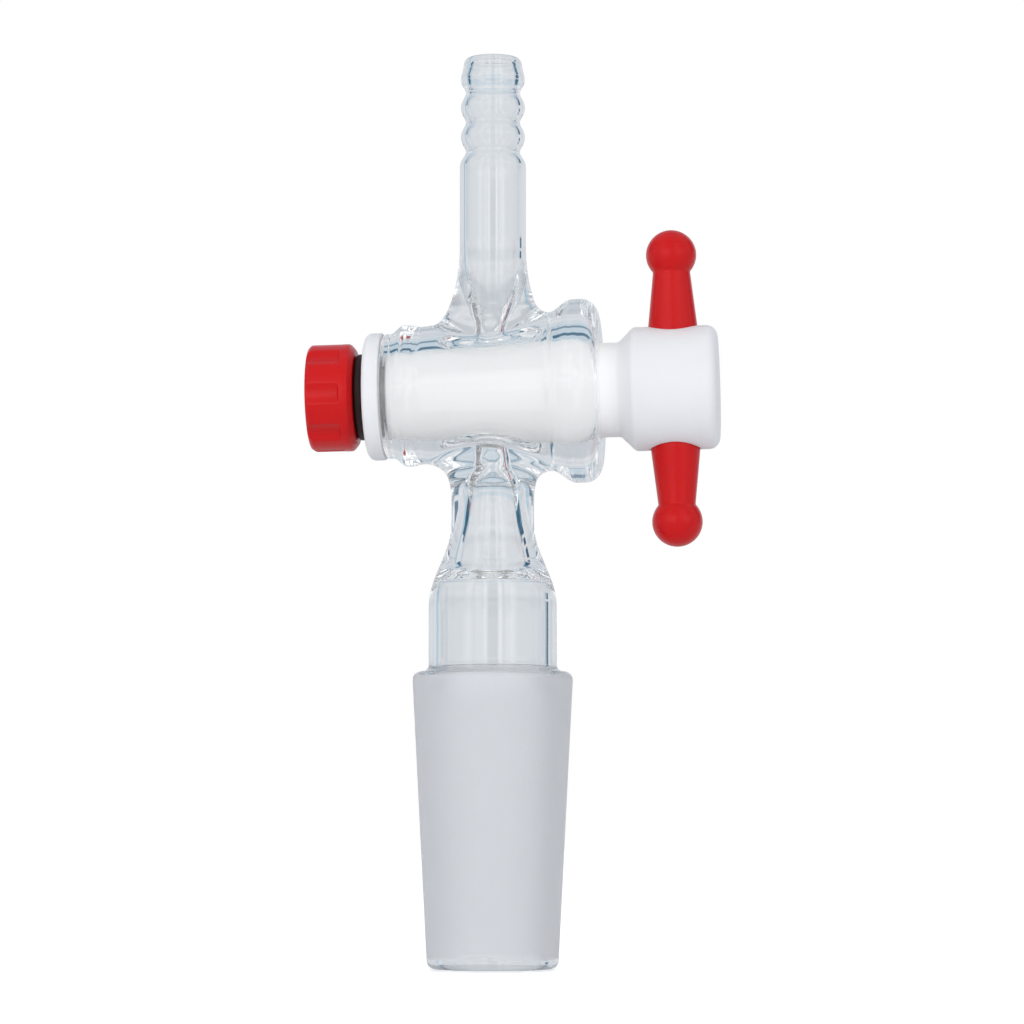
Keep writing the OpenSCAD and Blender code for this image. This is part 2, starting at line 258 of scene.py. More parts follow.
class PlugSizes(bpy.types.PropertyGroup):
    """Sizes and colours of the plug and washer."""

    key_d: length("Key", 14.5, "Key where the stem's axis crosses it")
    key_taper: FloatProperty(name="Taper", description="Growth of the key's diameter", default=0.1)
    port_d: length("Port", 4, "Bore through the plug and both ports")
    neck_d: length("Plug neck", 14.2, "Neck outside the barrel")
    neck_len: length("Plug neck length", 3.1, "Neck with its fillet")
    head_d: length("Head", 18.6, "Diameter of the head")
    head_len: length("Head length", 14.8, "Head with its chamfer")
    head_round: length("Head rounding", 1.7, "Outer edge of the head")
    stub_d: length("Stub", 9, "Diameter over the thread")
    key_flat: length("Flat", 0.8, "Depth of the flat that keys the washer")
    thread_pitch: length("Thread pitch", 1.5, "Travel of the nut in one turn")
    washer_d: length("Washer", 19.2, "Diameter of the washer")
    washer_t: length("Washer thickness", 2.6, "Thickness of the washer")
    washer_round: length("Washer rounding", 1.1, "Outer edge of the washer")
    white: colour("White", "#e3e4e7", "Fluoropolymer of the plug's head and the washer")
    # Painted light: the key gets a whiter colour than the head, to make up for the light that reaches it
    # dimmed through the glass
    turned: colour("Turned white", "#fcfcfc", "Freshly turned key of the plug")


class GripSizes(bpy.types.PropertyGroup):
    """Sizes and colours of the handle, ring and nut."""

    ball_span: length("Ball span", 40.2, "Between the centres of the balls")
    ball_d: length("Balls", 7.5, "Diameter of the balls")
    bar_d: length("Bar", 7.5, "Bar through the head")
    waist_d: length("Waist", 5.5, "Waist beside each ball")
    ring_d: length("Ring", 13, "Diameter of the rubber ring")
    ring_t: length("Ring thickness", 1.5, "Ring as squeezed by the nut")
    nut_d: length("Nut", 16.2, "Diameter of the nut")
    nut_len: length("Nut length", 7.1, "Length of the nut")
    flute_count: IntProperty(name="Flutes", description="Flutes round the nut", default=8)
    flute_w: length("Flute width", 3.6, "Width of each flute")
    flute_depth: length("Flute depth", 0.5, "Depth of each flute")
    collar_len: length("Collar", 1.1, "Plain collar at the nut's inner end")
    nut_bevel: length("Nut bevel", 0.8, "Bevel of the collar")
    red: colour("Red", "#c90f12", "Moulded plastic of the handle and nut")
    black: colour("Black", "#1d0f11", "Rubber of the ring")


class StudioSettings(bpy.types.PropertyGroup):
    """Camera, light and floor."""

    azimuth: angle("Azimuth", 5.0, "Camera towards the handle's side")
    elevation: angle("Elevation", -4.2, "Camera above the middle of the view")
    distance: length("Distance", 600, "From the camera to the middle of the view")
    aim_x: length("Aim across", 2.9, "Middle of the view, along the barrel")
    aim_z: length("Aim height", 68.2, "Middle of the view, above the floor")
    lens: FloatProperty(name="Lens", description="Focal length on a 36 mm sensor", default=140.5)
    floor: colour("Floor", "#e9ebed", "Pale painted floor")
    haze: colour("Studio", "#d9dce1", "Pale walls that the glass shows")
    shade: colour("Shade", "#bfc4ca", "Shade under the table")
    seam: colour("Seams", "#1d5876", "Dark blue gaps between the studio's walls")
    veil: colour("Veil", "#8fb9cf", "Light blue cards")
    lens_hood: colour("Lens", "#8f949c", "Dark patch of the camera itself")
    window: colour("Windows", "#ffffff", "Bright soft boxes")
    even: colour("Even light", "#e3e4e6", "Light that falls on matt surfaces from all round")


def sizes(group):
    """The group's numbers and colours under the same names, with lengths in millimetres."""
    held = {}
    for name, prop in group.bl_rna.properties.items():
        if prop.type in ("FLOAT", "INT"):
            value = getattr(group, name)
            held[name] = tuple(value) if prop.is_array else value
            if prop.unit == "LENGTH":
                held[name] /= MM
    return SimpleNamespace(**held)


def settings(context):
    """Sizes of the glass, the plug and the grip, and the places along the plug."""
    scene = context.scene
    g, p, grip = sizes(scene.stopcock_glass), sizes(scene.stopcock_plug), sizes(scene.stopcock_grip)
    at = SimpleNamespace(neck=g.half_len - NECK_SUNK, key_end=-g.half_len + KEY_SUNK)
    at.chamfer = (p.head_d - p.neck_d) / 2
    at.head = at.neck + p.neck_len
    at.head_end = at.head + p.head_len
    at.bar = at.head + at.chamfer + (p.head_len - at.chamfer) * BAR_SHARE
    at.washer = -g.half_len - FACE_GAP - p.washer_t
    at.ring = at.washer - FACE_GAP - grip.ring_t
    at.nut = at.ring - FACE_GAP - grip.nut_len
    at.stub_end = at.nut + STUB_SUNK
    return g, p, grip, at


# Profiles


def line(start, end, steps):
    """Points evenly along a straight line."""
    t = np.linspace(0, 1, steps + 1)[:, None]
    return np.array(start) * (1 - t) + np.array(end) * t


def column(radius, places):
    """Points at the given places, at one radius or at one for each."""
    return np.stack([radius + 0 * places, places], 1)


def arc(centre, radii, start, end, steps):
    """Points on an ellipse about a centre, between two angles in degrees."""
    a = np.radians(np.linspace(start, end, steps + 1))
    return np.stack([centre[0] + radii[0] * np.cos(a), centre[1] + radii[1] * np.sin(a)], 1)


def blend(start, end, steps=12):
    """Points whose radius eases from start to end as half a cosine, evenly along the axis."""
    t = np.linspace(0, 1, steps + 1)
    grow = (1 - np.cos(np.pi * t)) / 2
    return np.stack([start[0] + (end[0] - start[0]) * grow, start[1] + (end[1] - start[1]) * t], 1)


def spread(start, grow, end_z, power, steps):
    """Points whose radius grows with a power of the distance from the start."""
    t = np.linspace(0, 1, steps + 1)
    return np.stack([start[0] + grow * t**power, start[1] + (end_z - start[1]) * t], 1)


def eased(corners, steps=6):
    """A polyline of (radius, place, cut) with each inner corner replaced by a parabola.

    The parabola leaves the line a cut before the corner and meets it a cut after, where a cut
    is never more than 0.45 of a neighbouring side.
    """
    corners = np.array(corners, float)
    points, cuts = corners[:, :2], corners[1:-1, 2]
    sides = np.diff(points, axis=0)
    lengths = np.linalg.norm(sides, axis=1)
    heads = sides / lengths[:, None]
    cuts = np.minimum(cuts, 0.45 * np.minimum(lengths[:-1], lengths[1:]))[:, None]
    middle = points[1:-1]
    first, last = middle - cuts * heads[:-1], middle + cuts * heads[1:]
    t = np.linspace(0, 1, steps)[None, :, None]
    curve = (1 - t) ** 2 * first[:, None] + 2 * t * (1 - t) * middle[:, None] + t**2 * last[:, None]
    return np.vstack([points[:1], curve.reshape(-1, 2), points[-1:]])


def joined(*parts):
    """Profile parts end to end, without the points that repeat the one before."""
    points = np.vstack(parts)
    apart = np.linalg.norm(np.diff(points, axis=0), axis=1) > 1e-4
    return points[np.concatenate([[True], apart])]


# Surfaces


def full_turn(count):
    """Angles evenly round a circle, from 0."""
    return np.linspace(0, 2 * np.pi, count, endpoint=False)


def turned(profile, angles, radius=None):
    """A profile of (radius, place) carried round the barrel's axis, as a grid in its own frame.

    The point is (place, radius cos angle, radius sin angle). Angles may differ from row to row,
    and a grid of radii may stand in for the profile's own.
    """
    angles = np.broadcast_to(angles, (len(profile), np.shape(angles)[-1]))
    place = np.broadcast_to(profile[:, 1:2], angles.shape)
    radius = profile[:, :1] if radius is None else radius
    return np.stack([place, radius * np.cos(angles), radius * np.sin(angles)], -1)


def rings(profile, angles):
    """A profile of (radius, height) carried round the stem's upright axis, as a grid."""
    height = np.broadcast_to(profile[:, 1:2], (len(profile), len(angles)))
    return np.stack([profile[:, :1] * np.cos(angles), profile[:, :1] * np.sin(angles), height], -1)


def along_barrel(points):
    """Points of the barrel's own frame, put into the part's frame."""
    axes = np.stack([BARREL_AXIS, BARREL_UP, FRONT])
    return BARREL_MIDDLE + points @ axes


def seen_from_barrel(points):
    """Points of the part's frame, in the barrel's own frame."""
    away = points - BARREL_MIDDLE
    return np.stack([away @ BARREL_AXIS, away @ BARREL_UP, away @ FRONT], -1)


class Skin:
    """Vertices and faces of one piece, gathered patch by patch as whole arrays."""

    def __init__(self):
        self.points, self.quads, self.fans, self.count = [], [], [], 0

    def add(self, grid):
        """Takes a grid of points and returns their numbers in the same layout."""
        ids = self.count + np.arange(int(np.prod(grid.shape[:-1]))).reshape(grid.shape[:-1])
        self.points.append(grid.reshape(-1, 3))
        self.count += ids.size
        return ids

    def cover(self, ids, loop=False, holes=()):
        """Quads over a grid of numbers, closed round its columns, and round its rows for a loop.

        A hole is (first row, last row, first column, last column), whose faces are left out.
        """
        below = np.roll(ids, -1, 0) if loop else ids[1:]
        above = ids if loop else ids[:-1]
        faces = np.stack([above, np.roll(above, -1, 1), np.roll(below, -1, 1), below], -1)
        keep = np.ones(faces.shape[:2], bool)
        for row0, row1, col0, col1 in holes:
            keep[row0:row1, np.arange(col0, col1) % ids.shape[1]] = False
        self.quads.append(faces[keep])

    def cap(self, ring, centre, turned_in=False):
        """Closes a ring of numbers with triangles to its centre."""
        middle = np.full(len(ring), self.add(np.array(centre, float).reshape(1, 3))[0])
        pair = (np.roll(ring, -1), ring) if turned_in else (ring, np.roll(ring, -1))
        self.fans.append(np.stack([*pair, middle], -1))

    def piece(self, name, material, node, body, slot, in_barrel=True):
        """Makes the mesh object, in metres, hangs it on its body and hides the imported node that it
        replaces.
        """
        points = np.vstack(self.points)
        points = (along_barrel(points) if in_barrel else points) * MM
        faces = np.vstack(self.quads).tolist() + [f for fan in self.fans for f in fan.tolist()]
        mesh = bpy.data.meshes.new(name)
        mesh.from_pydata(points, [], faces)
        mesh.validate()
        mesh.shade_smooth()
        mesh.materials.append(material)
        obj = bpy.data.objects.new(name, mesh)
        bpy.context.scene.collection.objects.link(obj)
        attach(obj, body)
        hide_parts(node)
        return obj


def window_loop(ids, window):
    """Numbers round the edge of a window in a grid, from its first row and column."""
    row0, row1, col0, col1 = window
    rows, cols = np.arange(row0, row1 + 1), np.arange(col0, col1 + 1) % ids.shape[1]
    return np.concatenate([
        ids[row0, cols[:-1]], ids[rows[:-1], cols[-1]], ids[row1, cols[:0:-1]], ids[rows[:0:-1], cols[0]]])


def window_pairs(rows, cells, half_turn):
    """For each first row, the windows of so many cells that start at column 0 and half a turn on."""
    return [(row, row + cells, col, col + cells) for row in rows for col in (0, half_turn)]


def sector_angles(half, inside, between):
    """Angles round a circle with even steps in two sectors, about 0 and 180 degrees, and between.

    half is the half width of each sector in degrees; the first angle is the start of the sector
    about 0.
    """
    across = np.linspace(-half, half, inside, endpoint=False)
    one = np.concatenate([across, np.linspace(half, 180 - half, between, endpoint=False)])
    return np.radians(np.concatenate([one, one + 180]))


def mouth_rows(loop_points, centre, hole_r, radius_at, side, rows):
    """Rows on a turned surface from a window's edge to the edge of a round hole in it.

    Each row is a mix of the window's edge and the hole's circle in the plane of (place, front),
    laid back on the surface: up is the root of the squared radius at that place less the squared
    front. side is 1 above the axis and -1 below. Returns the rows and the circle's angles.
    """
    edge = loop_points[:, [0, 2]]
    aim = np.arctan2(edge[:, 1], edge[:, 0] - centre)
    way = np.sign(np.angle(np.exp(1j * (aim[1] - aim[0]))))
    even = aim[0] + way * full_turn(len(aim))
    circle = np.stack([centre + hole_r * np.cos(even), hole_r * np.sin(even)], 1)
    t = np.linspace(0, 1, rows + 1)[1:, None, None]
    flat = edge * (1 - t) + circle * t
    up = np.sqrt(np.maximum(radius_at(flat[..., 0]) ** 2 - flat[..., 1] ** 2, 0))
    return np.stack([flat[..., 0], side * up, flat[..., 1]], -1), even


def flat_limit(distance, angles):
    """Radius at each angle of a flat that lies below the axis at that distance."""
    return distance / np.maximum(-np.cos(angles), 1e-3)


def thread_wave(place, turn, pitch):
    """A left-hand thread: a rounded triangle wave of the place plus the turn's share of a pitch."""
    turns = place / pitch + turn / (2 * np.pi)
    return np.arcsin(0.98 * np.sin(2 * np.pi * turns)) / np.pi + 0.5


def ramp(value, start, over):
    """0 up to the start, 1 past the stretch that follows it, and a straight line between."""
    return np.clip((value - start) / over, 0, 1)


def blend_union(first, second, reach):
    """Smooth union of two distance fields: the lesser one, less a parabola where they are close."""
    near = np.maximum(reach - np.abs(first - second), 0) / reach
    return np.minimum(first, second) - near**2 * reach / 4


def settle(points, field, rounds=12, step=1e-3):
    """Moves points onto the zero of a field by Newton steps along its gradient."""
    moves = np.eye(3) * step
    for _ in range(rounds):
        value = field(points)
        slope = np.stack([(field(points + d) - field(points - d)) / (2 * step) for d in moves], -1)
        points = points - value[..., None] * slope / (slope**2).sum(-1, keepdims=True)
    return points


# Materials


def add(tree, kind, inputs=(), **settings):
    """Adds one shader node with its settings and inputs, named or in the order of its sockets.

    An input is a value, another node's output, or a node, which gives its first live output.
    """
    node = tree.nodes.new("ShaderNode" + kind)
    for key, value in settings.items():
        setattr(node, key, value)
    for key, value in inputs.items() if isinstance(inputs, dict) else enumerate(inputs):
        if isinstance(value, bpy.types.Node):
            value = next(output for output in value.outputs if output.enabled)
        if isinstance(value, bpy.types.NodeSocket):
            tree.links.new(value, node.inputs[key])
        else:
            node.inputs[key].default_value = value
    return node


def once(maker, *colours):
    """The material named after its maker, made the first time it is asked for.

    The maker takes an empty node tree and the colours, and returns the shader.
    """
    material = bpy.data.materials.get(maker.__name__)
    if material is None:
        material = bpy.data.materials.new(maker.__name__)
        material.use_nodes = True
        tree = material.node_tree
        tree.nodes.clear()
        add(tree, "OutputMaterial", [maker(tree, *colours)])
    return material


def borosilicate_glass_flame_worked(tree, tint, frost):
    """Borosilicate tube, flame worked, with its joint ground: clear walls with a faint cold tint
    and slow ripples from the flame, and a joint that scatters light off fine pits."""
    place = add(tree, "TexCoord").outputs["Object"]
    ground = add(tree, "Attribute", attribute_name="ground").outputs["Fac"]
    ripple = add(tree, "TexNoise", {"Vector": place, "Scale": 1 / (6 * MM), "Detail": 1.0})
    grit = add(tree, "TexNoise", {"Vector": place, "Scale": 1 / (0.3 * MM), "Detail": 2.0})
    pits = add(tree, "Math", [grit, ground], operation="MULTIPLY")
    wave = add(tree, "Bump", {"Height": ripple, "Strength": 0.025, "Distance": 0.6 * MM})
    rough = add(tree, "Bump", {"Height": pits, "Strength": 0.35, "Distance": 0.1 * MM, "Normal": wave})
    gloss = add(tree, "MapRange", {"Value": ground, "To Min": 0.0, "To Max": 0.6})
    through = add(tree, "MapRange", {"Value": ground, "To Min": 1.0, "To Max": 0.5})
    paint = add(tree, "Mix", {SHARE: ground, FIRST: (*tint, 1), SECOND: (*frost, 1)}, data_type="RGBA")
    surface = add(tree, "BsdfPrincipled", {
        "Base Color": paint, "Roughness": gloss, "IOR": 1.473, "Transmission Weight": through,
        "Normal": rough})
    clear = add(tree, "BsdfTransparent", {"Color": (1, 1, 1, 1)})
    lamp = add(tree, "LightPath").outputs["Is Shadow Ray"]
    return add(tree, "MixShader", [lamp, surface, clear])


def fluoropolymer_turned(tree, white, lit_key_white):
    """Fluoropolymer: waxy and faintly clear at the edges, with fine lathe lines round it, and painted
    whiter along the key, a painted lift for the light that the glass round the key holds back."""
    place = add(tree, "TexCoord").outputs["Object"]
    lines = add(tree, "Mapping", {"Vector": place, "Scale": (1 / (0.5 * MM), 30.0, 30.0)})
    lathe = add(tree, "TexNoise", {"Vector": lines, "Scale": 1.0, "Detail": 2.0})
    cloud = add(tree, "TexNoise", {"Vector": place, "Scale": 1 / (4 * MM), "Detail": 3.0})
    # Painted light: along the key, inside the glass, the colour is mixed towards a whiter one, to make up
    # for the light the glass holds back
    along = add(tree, "SeparateXYZ", [place]).outputs["X"]
    right = add(tree, "MapRange", {
        "Value": along, "From Min": 16 * MM, "From Max": 21.5 * MM, "To Min": 1.0, "To Max": 0.0})
    left = add(tree, "MapRange", {
        "Value": along, "From Min": -16.6 * MM, "From Max": -15.2 * MM, "To Min": 0.0, "To Max": 1.0})
    key = add(tree, "Math", [left, right], operation="MULTIPLY")
    plain = add(tree, "Mix", {SHARE: key, FIRST: (*white, 1), SECOND: (*lit_key_white, 1)}, data_type="RGBA")
    dim = add(tree, "MapRange", {"Value": cloud, "To Min": 1.0, "To Max": 0.96})
    shade = add(
        tree, "Mix", {SHARE: 1.0, FIRST: plain, SECOND: dim}, data_type="RGBA", blend_type="MULTIPLY")
    gloss = add(tree, "MapRange", {"Value": lathe, "To Min": 0.34, "To Max": 0.5})
    bump = add(tree, "Bump", {"Height": lathe, "Strength": 0.25, "Distance": 0.05 * MM})
    return add(tree, "BsdfPrincipled", {
        "Base Color": shade, "Roughness": gloss, "IOR": 1.38, "Normal": bump, "Subsurface Weight": 0.25,
        "Subsurface Radius": (1.6 * MM, 1.5 * MM, 1.4 * MM), "Subsurface Scale": 1.0})


def polypropylene_moulded_red(tree, red):
    """Injection-moulded polypropylene: satin red, slightly mottled, with a fine orange-peel skin."""
    place = add(tree, "TexCoord").outputs["Object"]
    deep = [0.86 * part for part in red]
    peel = add(tree, "TexNoise", {"Vector": place, "Scale": 1 / (0.6 * MM), "Detail": 2.0})
    cloud = add(tree, "TexNoise", {"Vector": place, "Scale": 1 / (5 * MM), "Detail": 2.0})
    shade = add(tree, "Mix", {SHARE: cloud, FIRST: (*red, 1), SECOND: (*deep, 1)}, data_type="RGBA")
    gloss = add(tree, "MapRange", {"Value": peel, "To Min": 0.2, "To Max": 0.3})
    bump = add(tree, "Bump", {"Height": peel, "Strength": 0.15, "Distance": 0.06 * MM})
    return add(tree, "BsdfPrincipled", {
        "Base Color": shade, "Roughness": gloss, "IOR": 1.49, "Specular IOR Level": 0.22, "Normal": bump})


def nitrile_rubber_moulded(tree, black):
    """Moulded rubber: nearly black, dull, with a dusty bloom in fine patches."""
    place = add(tree, "TexCoord").outputs["Object"]
    dusty = [1.8 * part + 0.004 for part in black]
    bloom = add(tree, "TexNoise", {"Vector": place, "Scale": 1 / (1.2 * MM), "Detail": 4.0})
    shade = add(tree, "Mix", {SHARE: bloom, FIRST: (*black, 1), SECOND: (*dusty, 1)}, data_type="RGBA")
    bump = add(tree, "Bump", {"Height": bloom, "Strength": 0.2, "Distance": 0.05 * MM})
    return add(tree, "BsdfPrincipled", {
        "Base Color": shade, "Roughness": 0.55, "IOR": 1.5, "Specular IOR Level": 0.25, "Normal": bump})


def pale_matt_paint(tree, pale):
    """Pale matt paint, lifted to white for the eye, so that a soft shadow stays."""
    eye = add(tree, "LightPath").outputs["Is Camera Ray"]
    lift = add(tree, "Math", [eye, FLOOR_LIFT], operation="MULTIPLY")
    return add(tree, "BsdfPrincipled", {
        "Base Color": (*pale, 1), "Roughness": 0.9, "Specular IOR Level": 0.0,
        "Emission Color": (1, 1, 1, 1), "Emission Strength": lift})


# Pieces


def key_radius(place):
    """Radius of the tapered key at a place along the plug."""
    p = sizes(bpy.context.scene.stopcock_plug)
    return (p.key_d + p.key_taper * place) / 2


def bore_radius(place):
    """Radius of the barrel's bore at a place along the plug."""
    return key_radius(place) + KEY_CLEAR


def barrel_profile(g):
    """Outside of the barrel from its left lip to its right end, as (radius, place)."""
    end, lip, crest = g.half_len, 0.55, 3
    lip_r, rim_r, crest_r = g.lip_d / 2, g.left_rim_d / 2, g.right_rim_d / 2
    left_r, right_r = g.barrel_left_d / 2, g.barrel_right_d / 2
    lip_end, rim_start, rim_end, plain = (place - end for place in (1.1, 3.2, 3.9, 5.8))
    rise = end - g.right_rim_len
    return joined(
        arc([lip_r - lip, lip - end], [lip, lip], -90, 0, 6),
        blend([lip_r, lip_end], [rim_r, rim_start]),
        blend([rim_r, rim_end], [left_r, plain]),
        line([left_r, plain], [right_r, rise], 40),
        blend([right_r, rise], [crest_r, end - g.right_rim_len / 2]),
        arc([crest_r - crest, end - g.right_rim_len / 3], [crest, g.right_rim_len / 3], 0, 90, 14))


def stem_outside(g, top):
    """Outside of the stem from just under the barrel down to its tip, as (radius, height)."""
    tip_r = (g.joint_d - JOINT_TAPER * g.joint_len) / 2
    corner = g.shoulder_h * 0.55
    fillet = g.shoulder_h - corner
    wide_z = g.joint_len + g.shoulder_h
    drop_z = wide_z + g.wide_len
    neck_z = drop_z + g.drop_len
    wide_r, neck_r, tip = g.wide_d / 2, g.neck_d / 2, g.tip_round
    up = joined(
        arc([tip_r - tip, tip], [tip, tip], -90, 0, 10),
        line([tip_r, tip], [g.joint_d / 2, g.joint_len], 60),
        arc([g.joint_d / 2 - corner, g.joint_len], [corner, corner], 0, 90, 10),
        arc([wide_r + fillet, wide_z], [fillet, fillet], 270, 180, 8),
        line([wide_r, wide_z], [wide_r, drop_z], 8),
        blend([wide_r, drop_z], [neck_r, neck_z], 24),
        spread([neck_r, neck_z + 1], g.neck_flare, top, 4, 24))
    return up[::-1]


def stem_inside(g, middle, barrel_r, port_r):
    """Inside of the stem from its tip up to the port in the barrel, as (radius, height)."""
    wide_r, joint_r = g.wide_d / 2 - g.wide_wall, g.joint_d / 2 - g.joint_wall
    cone_end = 3
    tip_r = joint_r - JOINT_TAPER / 2 * (g.joint_len - cone_end)
    wide_z = g.joint_len + g.shoulder_h
    dome_z = wide_z + g.wide_len + g.dome_rise
    lip_z = dome_z + g.dome_h
    neck_z = wide_z + g.wide_len + g.drop_len
    dome, lip = g.dome_round, g.dome_lip
    bore_r, neck_r, throat_r = g.stem_bore_d / 2, g.neck_bore_d / 2, g.neck_throat_d / 2
    port_z = middle - barrel_r
    return joined(
        eased([[tip_r + 0.9, 0, 0], [tip_r + 0.4, 0, 0.3], [tip_r, 0.5, 0.3], [tip_r + 0.15, cone_end, 0]]),
        blend([joint_r, g.joint_len - cone_end], [wide_r, wide_z]),
        arc([wide_r - dome, dome_z], [dome, dome], 0, DOME_TURN, 16),
        arc([bore_r + lip, lip_z], [lip, lip], 180 + DOME_TURN, 180, 24),
        eased([[bore_r - 0.01, lip_z + 0.06, 0], [neck_r, neck_z, 0.6], [throat_r, port_z - 1, 1],
               [port_r, port_z + 1, 0.8], [port_r, port_z + 2.1, 0]], 8))


def barb_radius(g, height, foot):
    """Radius of the barbs: a power of a cosine of one pitch, from the tube to the first groove, then up."""
    turn = (height - foot) / g.barb_pitch
    crest = np.where(turn < 0.5, g.tube_d, g.barb_d)
    swell = ((1 + np.cos(2 * np.pi * turn)) / 2) ** g.barb_fullness
    # A power below 1 ends in a crease, so the grooves keep a little of the plain cosine
    swell = np.sqrt(swell**2 + GROOVE_EASE**2) - GROOVE_EASE
    return (g.groove_d + (crest - g.groove_d) * swell / (math.hypot(1, GROOVE_EASE) - GROOVE_EASE)) / 2


def hose_arm(g, middle, barrel_r, port_r):
    """Outside of the hose arm upwards, then its inside down to the port, as (radius, height)."""
    port_z = middle + barrel_r
    tube_z = middle + g.arm_rise
    foot = tube_z + g.tube_len
    last = foot + g.barb_pitch * (g.barb_count + 0.5)
    top = last + g.arm_end_len
    tube_r, barb_r, wall = g.tube_d / 2, g.barb_d / 2, g.arm_wall
    end_r, end_round, mouth_r = g.arm_end_d / 2, g.arm_end_round, g.arm_mouth_d / 2
    tall = 1.3 * end_round
    heights = np.linspace(foot, last, 24 * g.barb_count + 13)
    waves = np.stack([barb_radius(g, heights, foot), heights], 1)
    outside = joined(
        spread([tube_r, tube_z], g.arm_flare, port_z + FLARE_LIFT, 2.2, 40)[::-1],
        waves,
        blend([g.groove_d / 2, last], [barb_r - 0.03, last + 1.8]),
        eased([[barb_r, last + 1.95, 0], [barb_r, last + 2.2, 0.3], [end_r, top - 1.4 * end_round, 0.6],
               [end_r - 0.005, top - 1.32 * end_round, 0]]),
        arc([end_r - end_round, top - tall], [end_round, tall], 2, 88, 14))
    inside = joined(
        eased([[mouth_r + 0.33, top, 0], [mouth_r + 0.3, top, 0.05], [mouth_r, top - 0.3, 0.25],
               [mouth_r, top - 1, 0.5], [barb_r - wall - 0.3, last + 2, 0.8],
               [waves[-1, 0] - wall, last, 0]]),
        (waves - [wall, 0])[::-1],
        eased([[tube_r - wall, foot, 0], [tube_r - wall, tube_z - g.arm_bore_drop, 4],
               [g.arm_throat_d / 2, port_z + 1, 1], [port_r, port_z - 1, 0.8],
               [port_r, port_z - 2.1, 0]], 10))
    return outside, inside


class STOPCOCK_OT_glass(bpy.types.Operator):
    """Makes the glass body: barrel, hose arm and stem fused, with the flow path open."""

    bl_idname = "stopcock.glass"
    bl_label = "Glass body"

    def execute(self, context):
        g, p, *_ = settings(context)
        middle, port_r = BARREL_MIDDLE[2], p.port_d / 2
        barrel_r = (g.barrel_left_d + g.barrel_right_d) / 4
        skin = Skin()
        ids, windows = self.barrel(skin, g)
        stem_out = stem_outside(g, middle - barrel_r + FLARE_LIFT)
        stem_in = stem_inside(g, middle, barrel_r, port_r)
        lines = (hose_arm(g, middle, barrel_r, port_r), (stem_out, stem_in))
        _, stem_ids = (
            self.arm(skin, g, ids, windows[i::2], barrel_r, port_r, *arm, *outlines)
            for i, (arm, outlines) in enumerate(zip(ARMS, lines)))
        glass = once(borosilicate_glass_flame_worked, g.tint, g.frost)
        piece = skin.piece("Glass_body", glass, "glass_body", "glass", "glass", in_barrel=False)
        # How far each point of the stem's outside is ground: all of the cone, with uneven edges
        across, front, height = np.vstack(skin.points)[stem_ids].T
        turn = np.arctan2(front, across)
        low = GROUND_START + 0.18 * np.sin(3 * turn) + 0.12 * np.sin(7 * turn + 1)
        high = g.joint_len + GROUND_PAST + 0.1 * np.sin(4 * turn + 2)
        mark = np.zeros(len(piece.data.vertices))
        mark[stem_ids] = ramp(height, low, GROUND_FADE_IN) * ramp(-height, -high, GROUND_FADE_OUT)
        layer = piece.data.attributes.new("ground", "FLOAT", "POINT")
        layer.data.foreach_set("value", mark.astype(np.float32))
        return {"FINISHED"}

    def barrel(self, skin, g):
        """The barrel's outside from left to right, its right end, the bore back, and its left end.

        Angles go from the outer sectors to the narrower ones of the bore over both ends. Returns
        the points' numbers and four windows: above and below outside, above and below in the bore.
        """
        shape = barrel_profile(g)
        end, cut, apart = g.half_len, 0.3, 0.05
        span = np.linspace(*WINDOW_SPAN, WINDOW_CELLS + 1)
        outside = joined(
            shape[shape[:, 1] < span[0] - apart],
            column(np.interp(span, shape[:, 1], shape[:, 0]), span),
            shape[shape[:, 1] > span[-1] + apart])
        port_span = np.linspace(PORT_SPAN, -PORT_SPAN, WINDOW_CELLS + 1)
        mouths = [[bore_radius(s * end) + MOUTH_EASE, s * end] for s in (1, -1)]
        lips = [[bore_radius(s * (end - MOUTH_EASE)), s * (end - MOUTH_EASE)] for s in (1, -1)]
        deep, near, near_left, deep_left = (
            [bore_radius(place), place] for place in (BORE_SPAN, PORT_SPAN, -PORT_SPAN, -BORE_SPAN))
        right = eased([[*outside[-1], 0], [*mouths[0], cut], [*lips[0], cut], [*deep, 0]])
        left = eased([[*deep_left, 0], [*lips[1], cut], [*mouths[1], cut], [*outside[0], 0]])
        bore = column(bore_radius(port_span), port_span)
        profile = joined(
            outside, right, line(deep, near, 6), bore, line(near_left, deep_left, 6), left)[:-1]
        share = (np.arange(len(profile)) >= len(outside)).astype(float)
        right_end = slice(len(outside) - 1, len(joined(outside, right)))
        left_end = slice(len(profile) - len(left) + 2, len(profile))
        for rows, rim, mouth in ((right_end, outside[-1], mouths[0]), (left_end, outside[0], mouths[1])):
            share[rows] = np.clip((rim[0] - profile[rows, 0]) / (rim[0] - mouth[0]), 0, 1)
        wide = sector_angles(OUTER_SECTOR, WINDOW_CELLS, SIDE_CELLS)
        narrow = sector_angles(BORE_SECTOR, WINDOW_CELLS, SIDE_CELLS)
        ids = skin.add(along_barrel(turned(profile, wide + (narrow - wide) * share[:, None])))
        first = int(np.argmin(np.abs(outside[:, 1] - span[0])))
        port_first = int(np.argmin(np.abs(profile[:, 1] - PORT_SPAN) + (share < 1) * 1e3))
        windows = window_pairs((first, port_first), WINDOW_CELLS, WINDOW_CELLS + SIDE_CELLS)
        skin.cover(ids, loop=True, holes=windows)
        return ids, windows

    def arm(self, skin, g, ids, windows, barrel_r, port_r, side, rise, reach, out, into):
        """One arm, from its window over a blend, along the outside, over the rim and back inside.

        The blend's rows start on parabolas from the window's edge past the crease to a ring of the
        arm, and settle on the smooth union of barrel and arm. Returns the numbers of the outside.
        """
        shape = barrel_profile(g)
        by_height = out[np.argsort(out[:, 1])]
        middle, size = BARREL_MIDDLE[2], 4 * WINDOW_CELLS
        ring_z, gap = middle + side * rise, 0.15
